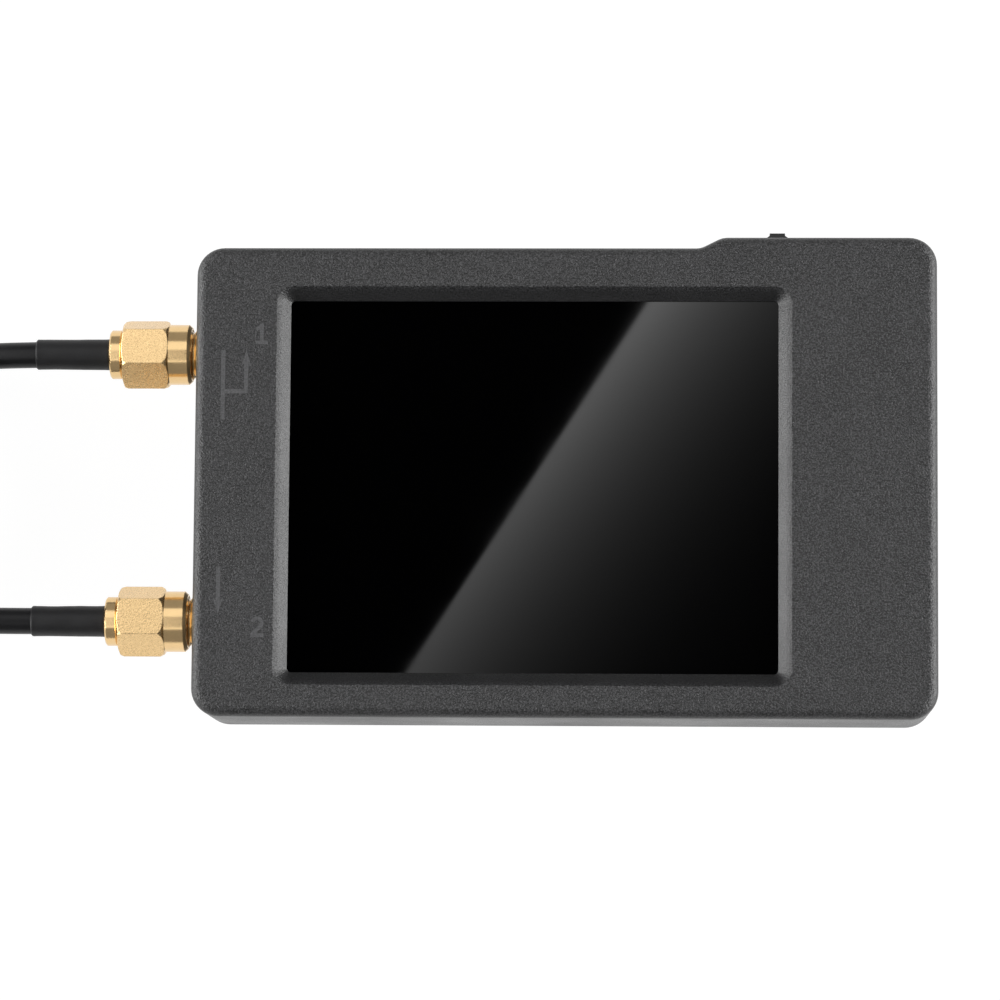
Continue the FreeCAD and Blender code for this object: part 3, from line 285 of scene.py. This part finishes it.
# a port's jack: places along the port's axis from the case's end face, and radii
jackSetup = {
    "run": (-2.65, 6.6), "thread": (-0.6, 6.45), "fade": 0.5,
    "mouth": (6.3, 0.3),  # where the crest starts to close in, and by how much over that length
    "bore": [(6.6, 2.40), (6.52, 2.33), (4.65, 2.33), (4.65, 2.05), (-2.65, 2.05)],
    "flange": [(-1.85, -0.1), (-1.95, 0.0), (-3.35, 0.0), (-3.45, -0.1)],  # place, change of half width
    "flangeHalf": 3.4,
    "legX": -44.575, "legSize": (4.85, 1.0, 1.0), "legY": (2.4, -3.4), "legZ": (8.55, 5.95),
}


def makeJack(number, setup, jack):
    # threaded barrel: outer thread, rounded mouth, two-step bore, closed behind the flange
    plug = plugs[f"near_{number}"]
    sides = setup["sides"]
    start, end = jack["run"]
    along = np.linspace(start, end, int((end - start) / setup["pitch"] * setup["perPitch"]))
    mouth, closing = jack["mouth"]
    crest = setup["crest"] - closing * np.clip((along - mouth) / closing, 0, 1)
    outer = crest[:, None] - threadDepth(along, setup, *jack["thread"], jack["fade"], plug["sense"])
    inner = np.repeat(np.array([radius for _, radius in jack["bore"]])[:, None], sides, axis=1)
    places = np.concatenate([along, [place for place, _ in jack["bore"]]])
    points = aroundAxis(places, np.concatenate([outer, inner]), plug)
    faces = gridFaces(len(places), sides)
    # square flange round the barrel, its outline the reach of a square along each ray
    turn = np.linspace(0, 2 * np.pi, sides, endpoint=False)
    square = jack["flangeHalf"] / np.maximum(np.abs(np.cos(turn)), np.abs(np.sin(turn)))
    rings = [square + change for _, change in jack["flange"]]
    rings += [np.full(sides, jack["bore"][-1][1])] * 2
    places = np.array([place for place, _ in jack["flange"]] + [jack["flange"][-1][0], jack["flange"][0][0]])
    flange = aroundAxis(places, np.stack(rings), plug)
    faces += (np.array(gridFaces(len(places), sides)) + len(points)).tolist()
    points = np.concatenate([points, flange])
    # four legs that grip the board
    corners = np.array([[x, y, z] for x in (0, 1) for y in (0, 1) for z in (0, 1)], float)
    boxSides = [(0, 1, 3, 2), (4, 6, 7, 5), (0, 4, 5, 1), (2, 3, 7, 6), (0, 2, 6, 4), (1, 5, 7, 3)]
    for shiftY in jack["legY"]:
        for low in jack["legZ"]:
            lowCorner = np.array([jack["legX"], plug["start"][1] + shiftY, low])
            leg = (lowCorner + corners * np.array(jack["legSize"])) * mm
            faces += (np.array(boxSides) + len(points)).tolist()
            points = np.concatenate([points, leg])
    piece = addMesh(f"port_{number}_thread", points, faces, "case", "gold")
    sharpen(piece)
    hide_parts(f"port_{number}_jack")


nutThreadSetup = {"run": (1.5, 6.75), "fade": 0.4, "bore": 3.235, "back": 3.245, "share": 0.6}


def makeNutThread(number, setup, nut):
    # the thread inside a far nut: ridges that stand in from its bore, a share of the thread's depth
    plug = plugs[f"far_{number}"]
    start, end = nut["run"]
    along = np.linspace(start, end, int((end - start) / setup["pitch"] * setup["perPitch"]))
    inner = nut["bore"] - threadDepth(along, setup, start, end, nut["fade"], plug["sense"]) * nut["share"]
    outer = np.full((2, setup["sides"]), nut["back"])
    places = np.concatenate([along, [end, start]])
    points = aroundAxis(places, np.concatenate([inner, outer]), plug)
    piece = addMesh(f"nut_thread_{number}", points, gridFaces(len(places), setup["sides"]),
                    f"far_nut_{number}", "gold")
    sharpen(piece)


for number in (1, 2):
    makeJack(number, threadSetup, jackSetup)
    makeNutThread(number, threadSetup, nutThreadSetup)
print("stage: threads")

# Marks on the face: plain port numbers and flow arrows, in mm.
printSetup = {
    "low": 17.97, "high": 18.012,  # the ink film on the face
    "step": 0.002,  # how much lower each later stroke of a mark lies
    "stroke": 0.55, "digitStroke": 0.5,
    "head": (0.68, 2.1, 0.72),  # arrowhead: half width, length, share of the length to the notch
    # bars from point to point, and heads as a point and the way that it looks along Y
    "arrows": [("bar", -44.13, 8.1, -44.13, 16.6), ("bar", -43.9, 11.5, -41.4, 11.5),
               ("bar", -41.15, 11.5, -41.15, 15.2), ("head", -41.15, 16.85, 1),
               ("bar", -44.38, -11.5, -44.38, -15.6), ("head", -44.38, -17.31, -1)],
    "digits": {1: (-39.3, 18.95), 2: (-39.3, -18.95)},
    # figures 2.66 mm high, about their middle
    "one": [(0.12, -1.08, 0.12, 1.08), (-0.42, 0.74, 0.12, 1.08), (-0.42, -1.08, 0.66, -1.08)],
    "two": {"bow": (0.6, 0.48), "turn": (168, -38, 16), "foot": (-0.66, -1.0),
            "base": (-0.6, -1.08, 0.62, -1.08)},
}


def extrude(outlines, low, high, step=0.0):
    # flat outlines drawn in XY, each made a thin plate between two heights. Where strokes cross,
    # each top lies a step under the one before, so that no two share a plane
    points, faces = [], []
    for index, outline in enumerate(outlines):
        base, count = len(points), len(outline)
        points += [(x, y, low) for x, y in outline] + [(x, y, high - index * step) for x, y in outline]
        faces.append([base + i for i in reversed(range(count))])
        faces.append([base + count + i for i in range(count)])
        faces += [[base + i, base + (i + 1) % count, base + count + (i + 1) % count, base + count + i]
                  for i in range(count)]
    return np.array(points) * mm, faces


def bar(x0, y0, x1, y1, width):
    # a straight stroke between two points, half its width longer at each end
    along = Vector((x1 - x0, y1 - y0)).normalized() * width / 2
    side = Vector((-along.y, along.x))
    a, b = Vector((x0, y0)) - along, Vector((x1, y1)) + along
    return [tuple(a - side), tuple(b - side), tuple(b + side), tuple(a + side)]


def arrowHead(x, y, way, head):
    # a slim notched arrowhead whose point is at (x, y)
    half, length, notch = head
    return [(x, y), (x - half * way, y - length * way),
            (x, y - length * notch * way), (x + half * way, y - length * way)]


def ribbon(points, width):
    # one outline round a bent stroke: its points moved half the width to each side
    points = [Vector(point) for point in points]
    left, right = [], []
    for index, point in enumerate(points):
        before = points[max(index - 1, 0)]
        after = points[min(index + 1, len(points) - 1)]
        way = (after - before).normalized()
        side = Vector((-way.y, way.x)) * width / 2
        left.append(tuple(point + side))
        right.append(tuple(point - side))
    return right + left[::-1]


def digitStrokes(digit, x, y, setup):
    # a one of three bars, or a two of a round bow that runs on to its foot, and a base
    width = setup["digitStroke"]
    if digit == 1:
        return [bar(x + x0, y + y0, x + x1, y + y1, width) for x0, y0, x1, y1 in setup["one"]]
    radius, lift = setup["two"]["bow"]
    turn = np.radians(np.linspace(*setup["two"]["turn"]))
    bow = [(x + radius * math.cos(t), y + lift + radius * math.sin(t)) for t in turn]
    footX, footY = setup["two"]["foot"]
    x0, y0, x1, y1 = setup["two"]["base"]
    return [ribbon(bow + [(x + footX, y + footY)], width), bar(x + x0, y + y0, x + x1, y + y1, width)]


def makePrint(setup):
    arrows = [bar(*place, setup["stroke"]) if kind == "bar" else arrowHead(*place, setup["head"])
              for kind, *place in setup["arrows"]]
    marks = {"face_arrows": arrows}
    for digit, (x, y) in setup["digits"].items():
        marks[f"port_number_{digit}"] = digitStrokes(digit, x, y, setup)
    for name, outlines in marks.items():
        points, faces = extrude(outlines, setup["low"], setup["high"], setup["step"])
        addMesh(name, points, faces, "case", "case", smooth=False)["finish"] = "ink"


makePrint(printSetup)
print("stage: marks")

# Contacts on both sides of the data socket's tongue, in mm.
contactSetup = {
    "count": 12, "spacing": 0.5, "width": 0.26, "middle": 34.695, "y": (26.0, 29.6), "z": 10.15,
    "skin": (0.33, 0.375),  # each row's start and end, up and down from the tongue's middle plane
}


def makeContacts(setup):
    half = setup["width"] / 2
    back, mouth = setup["y"]
    z, (start, end) = setup["z"], setup["skin"]
    rows = []
    for index in range(setup["count"]):
        x = setup["middle"] + (index - (setup["count"] - 1) / 2) * setup["spacing"]
        rows.append([(x - half, back), (x + half, back), (x + half, mouth), (x - half, mouth)])
    upper, upperFaces = extrude(rows, z + start, z + end)
    lower, lowerFaces = extrude(rows, z - end, z - start)
    faces = upperFaces + [[corner + len(upper) for corner in face] for face in lowerFaces]
    addMesh("socket_contacts", np.concatenate([upper, lower]), faces, "case", "gold", smooth=False)


makeContacts(contactSetup)
print("stage: socket contacts")

# Every finish has two scales of colour mottling, uneven gloss and, unless it is 0, a fine relief,
# all on Object coordinates. Rough is the range of roughness; grain, relief and patch are in mm.
# Keys that only some have: metal, shine (how strongly a dull surface mirrors), speckle (the
# grain's share in the colour, in place of mottle), and those that makeFinish explains.
finishes = {
    # the case's rim: painted shade, the share of the face's colour that its rounded rim and bevel keep
    "case": {"colour": (0.0245, 0.0245, 0.0256), "rough": (0.30, 0.46), "mottle": 0.25, "grain": 0.22,
             "relief": 0.16, "patch": 9.0, "speckle": 4.2, "face": (17.3, 17.98, 0.5), "rim": 0.55,
             "seam": 9.0},
    "glass_black": {"colour": (0.0005, 0.0005, 0.0006), "rough": (0.012, 0.03), "mottle": 0.2, "grain": 6.0,
                    "relief": 0.0, "patch": 30.0},
    "display_cell": {"colour": (0.02, 0.02, 0.022), "rough": (0.05, 0.08), "mottle": 0.1, "grain": 2.0,
                     "relief": 0.0, "patch": 10.0},
    "backlight": {"colour": (0.75, 0.76, 0.78), "rough": (0.3, 0.42), "mottle": 0.05, "grain": 0.8,
                  "relief": 0.01, "patch": 8.0, "metal": 0.7},
    "gasket": {"colour": (0.012, 0.012, 0.012), "rough": (0.75, 0.9), "mottle": 0.2, "grain": 0.3,
               "relief": 0.02, "patch": 4.0},
    "flex": {"colour": (0.55, 0.22, 0.03), "rough": (0.25, 0.4), "mottle": 0.2, "grain": 0.6,
             "relief": 0.01, "patch": 4.0},
    "board": {"colour": (0.008, 0.05, 0.022), "rough": (0.2, 0.35), "mottle": 0.45, "grain": 1.1,
              "relief": 0.03, "patch": 5.0},
    "chip": {"colour": (0.016, 0.016, 0.017), "rough": (0.5, 0.65), "mottle": 0.2, "grain": 0.15,
             "relief": 0.01, "patch": 2.0},
    "nylon": {"colour": (0.72, 0.69, 0.6), "rough": (0.35, 0.5), "mottle": 0.08, "grain": 0.4,
              "relief": 0.01, "patch": 3.0},
    "steel": {"colour": (0.56, 0.56, 0.58), "rough": (0.24, 0.38), "mottle": 0.12, "grain": 0.25,
              "relief": 0.008, "patch": 2.5, "metal": 1.0},
    "gold": {"colour": (0.82, 0.575, 0.29), "rough": (0.12, 0.2), "mottle": 0.08, "grain": 0.2,
             "relief": 0.04, "patch": 2.2, "metal": 1.0, "speckle": 0.4, "sanded": 0.11, "soft": 0.16},
    "ptfe": {"colour": (0.82, 0.82, 0.8), "rough": (0.4, 0.5), "mottle": 0.04, "grain": 0.3,
             "relief": 0.008, "patch": 2.0},
    "pouch": {"colour": (0.62, 0.62, 0.64), "rough": (0.28, 0.42), "mottle": 0.08, "grain": 1.6,
              "relief": 0.05, "patch": 9.0, "metal": 0.9},
    "tape": {"colour": (0.72, 0.5, 0.05), "rough": (0.5, 0.7), "mottle": 0.1, "grain": 0.7,
             "relief": 0.01, "patch": 6.0},
    "wire_red": {"colour": (0.45, 0.015, 0.012), "rough": (0.35, 0.5), "mottle": 0.1, "grain": 0.3,
                 "relief": 0.01, "patch": 2.0},
    "wire_black": {"colour": (0.014, 0.014, 0.014), "rough": (0.35, 0.5), "mottle": 0.2, "grain": 0.3,
                   "relief": 0.01, "patch": 2.0},
    "boot": {"colour": (0.010, 0.010, 0.011), "rough": (0.42, 0.6), "mottle": 0.3, "grain": 0.25,
             "relief": 0.02, "patch": 2.5, "shine": 0.35},
    "jacket": {"colour": (0.008, 0.008, 0.009), "rough": (0.3, 0.42), "mottle": 0.25, "grain": 0.35,
               "relief": 0.012, "patch": 6.0, "shine": 0.25},
    "tie": {"colour": (0.018, 0.018, 0.018), "rough": (0.4, 0.5), "mottle": 0.2, "grain": 0.3,
            "relief": 0.01, "patch": 2.0},
    "lamp": {"colour": (0.7, 0.75, 0.6), "rough": (0.15, 0.25), "mottle": 0.05, "grain": 0.3,
             "relief": 0.0, "patch": 1.0},
    "ceramic": {"colour": (0.33, 0.22, 0.13), "rough": (0.6, 0.75), "mottle": 0.15, "grain": 0.2,
                "relief": 0.01, "patch": 1.5},
    "knob": {"colour": (0.018, 0.018, 0.018), "rough": (0.4, 0.5), "mottle": 0.2, "grain": 0.2,
             "relief": 0.01, "patch": 1.5},
    "ink": {"colour": (0.088, 0.088, 0.091), "rough": (0.4, 0.5), "mottle": 0.2, "grain": 0.24,
            "relief": 0.06, "patch": 3.0, "speckle": 0.8},
}

# what the finishes share
finishSetup = {
    "hexagon": (7.25, 2.95),  # mm along a plug's axis: the middle of the nut's hexagon, half its length
    "polished": 0.08,  # what the rest of a plug has of the hexagon's grain
    "seam": (0.07, 0.15),  # half the width of the dark line in mm, and how dark it is
    "gloss": (0.6, 0.4),  # the shares of patches and grain in the uneven gloss
    "bevelSamples": 4,
}


class Tree:
    # the nodes of a material or world, with one call that adds a node and sets or links its inputs
    def __init__(self, owner):
        self.owner = owner
        owner.use_nodes = True
        self.nodes = owner.node_tree.nodes
        self.nodes.clear()

    def add(self, kind, inputs=None, **settings):
        made = self.nodes.new("ShaderNode" + kind)
        for key, value in settings.items():
            setattr(made, key, value)
        for key, value in (inputs or {}).items():
            if isinstance(value, bpy.types.NodeSocket):
                self.owner.node_tree.links.new(value, made.inputs[key])
            else:
                made.inputs[key].default_value = value
        return made

    def math(self, operation, first, second=0.0, third=0.0):
        return self.add("Math", {0: first, 1: second, 2: third}, operation=operation).outputs[0]

    def vector(self, operation, first, second, output="Value"):
        return self.add("VectorMath", {0: first, 1: second}, operation=operation).outputs[output]

    def noise(self, vector, size, detail=2.0, roughness=0.5):
        # grains about `size` millimetres across, from 0 to 1
        made = self.add("TexNoise", {"Vector": vector, "Scale": 1 / (size * mm), "Detail": detail,
                                     "Roughness": roughness})
        return made.outputs["Fac"]

    def spread(self, value, low, high, fromLow=0.3, fromHigh=0.7):
        return self.add("MapRange", {"Value": value, "From Min": fromLow, "From Max": fromHigh,
                                     "To Min": low, "To Max": high}).outputs["Result"]

    def glow(self, strength):
        return self.add("Emission", {"Color": (1, 1, 1, 1), "Strength": strength}).outputs[0]

    def seen(self):
        # 1 for what the camera sees and what mirrors and glass show, 0 for what only gives light
        rays = self.add("LightPath").outputs
        shown = self.math("MAXIMUM", rays["Is Glossy Ray"], rays["Is Transmission Ray"])
        return self.math("MAXIMUM", rays["Is Camera Ray"], shown)

    def finish(self, surface):
        self.add("OutputMaterial", {"Surface": surface})
        return self.owner


def makeFinish(slot, look, shared):
    tree = Tree(bpy.data.materials.new(slot))
    place = tree.add("TexCoord").outputs["Object"]
    spot = tree.add("SeparateXYZ", {0: place}).outputs
    patch = tree.noise(place, look["patch"], detail=3.0)
    grain = tree.noise(place, look["grain"], roughness=0.6)
    share = 1.0
    roughen = 0.0
    if "face" in look:
        # full grain on the flat face, less on its rounded rim, the bevel and the sides: the
        # heights in mm between which it changes, and how much stays
        low, high, rest = look["face"]
        share = tree.spread(spot["Z"], rest, 1.0, low * mm, high * mm)
    if "sanded" in look:
        # the nuts' hexagons are rougher by this much, and all the rest is polished
        share = shared["polished"]
        hexagonMiddle, hexagonHalf = shared["hexagon"]
        for plug in plugs.values():
            middle = plug["start"][0] + plug["sense"] * hexagonMiddle
            inside = tree.math("COMPARE", spot["X"], middle * mm, hexagonHalf * mm)
            share = tree.math("MAXIMUM", inside, share)
        roughen = tree.math("MULTIPLY", share, look["sanded"])
    speckle = tree.math("MULTIPLY", tree.spread(grain, -0.5, 0.5), share)
    shade = tree.math("MULTIPLY_ADD", speckle, look.get("speckle", look["mottle"]), 1.0)
    shade = tree.math("MULTIPLY_ADD", tree.spread(patch, -0.5, 0.5), look["mottle"], shade)
    if "rim" in look:
        # painted shade: the colour of the rounded rim and the bevel is darkened below the face's, down to
        # this share
        shade = tree.math("MULTIPLY", shade, tree.spread(share, look["rim"], 1.0, look["face"][2], 1.0))
    if "seam" in look:
        # the dark line where the two covers meet, at this height in mm
        half, dark = shared["seam"]
        line = tree.math("COMPARE", spot["Z"], look["seam"] * mm, half * mm)
        shade = tree.math("MULTIPLY", shade, tree.spread(line, 1.0, dark, 0.0, 1.0))
    tint = tree.add("VectorMath", {0: look["colour"], "Scale": shade}, operation="SCALE").outputs[0]
    patchShare, grainShare = shared["gloss"]
    uneven = tree.math("MULTIPLY_ADD", patch, patchShare, tree.math("MULTIPLY", grain, grainShare))
    gloss = tree.math("ADD", tree.spread(uneven, *look["rough"]), roughen)
    inputs = {"Base Color": tint, "Roughness": gloss, "Metallic": look.get("metal", 0.0),
              "Specular IOR Level": look.get("shine", 0.5)}
    if look["relief"] > 0:
        height = tree.math("MULTIPLY", grain, share)
        bump = {"Height": height, "Distance": look["relief"] * mm, "Strength": 1.0}
        if "soft" in look:
            # edges catch the light as if rounded by this many millimetres
            bump["Normal"] = tree.add("Bevel", {"Radius": look["soft"] * mm},
                                      samples=shared["bevelSamples"]).outputs[0]
        inputs["Normal"] = tree.add("Bump", bump).outputs["Normal"]
    return tree.finish(tree.add("BsdfPrincipled", inputs).outputs[0])


materials = {slot: makeFinish(slot, look, finishSetup) for slot, look in finishes.items()}


def paint(piece, slot):
    piece.data.materials.clear()
    piece.data.materials.append(materials[slot])


for entry in frame["record"]["subparts"]:
    paint(nodes[entry["node"]], entry["material_slot"])
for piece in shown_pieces():
    if piece.name not in nodes:
        paint(piece, piece.get("finish", piece["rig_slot"]))
print("stage: materials")

# The table, the light, and the boards that show only in what mirrors them.
stageSetup = {
    "floorHalf": 3.0, "floorPaint": 0.85,
    "floorShare": 0.86, "floorGlow": 1.12,  # how much of the floor's look is its own white, and how bright
    "world": 0.27, "sky": 1.25,  # what lights dull surfaces, and what bright ones mirror
    "boxes": {
        # centre, size, watts
        "left": ((-0.72, 0.02, 0.16), (0.8, 0.4), 8.0),
        "right": ((0.72, 0.02, 0.16), (0.8, 0.4), 9.6),
    },
    "flagHalf": 1.0,
    "flags": {
        # dark boards upright on the table: place along Y, height, glow
        "back_flag": (0.6, 0.60, 0.36),
        "front_flag": (-0.6, 0.85, 0.3),
    },
    "card": {"height": 0.70, "x": (-0.128, 0.45), "y": (-0.37, 0.154),
             "edge": ((-0.0632, 0.0279), (0.0039, 0.1329)),  # the lit part's straight edge
             "soft": 0.0004,  # half the width over which that edge comes on
             "bright": (1.33, 2.85),  # the glow at its near and far end
             "fade": 61.0, "most": 6.0},  # how fast the glow falls off away from it, and its limit
}


def makeFloor(setup):
    half = setup["floorHalf"]
    mesh = bpy.data.meshes.new("floor")
    mesh.from_pydata([(-half, -half, 0), (half, -half, 0), (half, half, 0), (-half, half, 0)],
                     [], [(0, 1, 2, 3)])
    floor = placeObject("floor", mesh)
    tree = Tree(bpy.data.materials.new("table"))
    share = tree.math("MULTIPLY", tree.seen(), setup["floorShare"])
    grey = (setup["floorPaint"],) * 3 + (1.0,)
    matt = tree.add("BsdfDiffuse", {"Color": grey}).outputs[0]
    mixed = tree.add("MixShader", {0: share, 1: matt, 2: tree.glow(setup["floorGlow"])}).outputs[0]
    mesh.materials.append(tree.finish(mixed))


def makeWorld(setup):
    world = bpy.data.worlds.new("studio")
    bpy.context.scene.world = world
    tree = Tree(world)
    strength = tree.spread(tree.seen(), setup["world"], setup["sky"], 0.0, 1.0)
    white = tree.add("Background", {"Color": (1, 1, 1, 1), "Strength": strength}).outputs[0]
    tree.add("OutputWorld", {"Surface": white})


def makeLights(setup):
    for name, (centre, size, power) in setup["boxes"].items():
        lamp = bpy.data.lights.new(name + "_box", "AREA")
        lamp.shape = "RECTANGLE"
        lamp.size, lamp.size_y = size
        lamp.energy = power
        holder = placeObject(name + "_box", lamp)
        holder.location = centre
        holder.rotation_euler = (-Vector(centre)).to_track_quat("-Z", "Y").to_euler()


def makeBoard(name, corners, material):
    # a flat board that only shows in what mirrors it
    mesh = bpy.data.meshes.new(name)
    mesh.from_pydata(corners, [], [(0, 1, 2, 3)])
    mesh.materials.append(material)
    board = placeObject(name, mesh)
    board.visible_camera = False
    board.visible_diffuse = False
    board.visible_shadow = False


def makeFlags(setup):
    half = setup["flagHalf"]
    for name, (y, height, light) in setup["flags"].items():
        tree = Tree(bpy.data.materials.new(name))
        makeBoard(name, [(-half, y, 0), (half, y, 0), (half, y, height), (-half, y, height)],
                  tree.finish(tree.glow(light)))


def makeCard(card):
    # a black board over the camera with one lit part, which the glass mirrors: brightest along
    # its straight edge, falling off away from it
    (left, right), (low, high) = card["x"], card["y"]
    z = card["height"]
    start, end = (Vector(point) for point in card["edge"])
    way = (end - start).normalized()
    across = (way.y, -way.x, 0)
    tree = Tree(bpy.data.materials.new("card"))
    place = tree.add("TexCoord").outputs["Object"]
    fromStart = tree.vector("SUBTRACT", place, (start.x, start.y, 0), "Vector")
    u = tree.vector("DOT_PRODUCT", fromStart, (way.x, way.y, 0))
    v = tree.vector("DOT_PRODUCT", fromStart, across)
    dim, bright = card["bright"]
    rise = math.log(bright / dim) / (end - start).length
    power = tree.math("MULTIPLY_ADD", u, rise, tree.math("MULTIPLY_ADD", v, -card["fade"], math.log(dim)))
    lit = tree.spread(v, 0, 1, -card["soft"], card["soft"])
    light = tree.math("MINIMUM", tree.math("MULTIPLY", tree.math("EXPONENT", power), lit), card["most"])
    makeBoard("card", [(left, high, z), (right, high, z), (right, low, z), (left, low, z)],
              tree.finish(tree.glow(light)))


makeFloor(stageSetup)
makeWorld(stageSetup)
makeLights(stageSetup)
makeFlags(stageSetup)
makeCard(stageSetup["card"])
bpy.context.scene.view_settings.view_transform = "Standard"
print("stage: table and light")
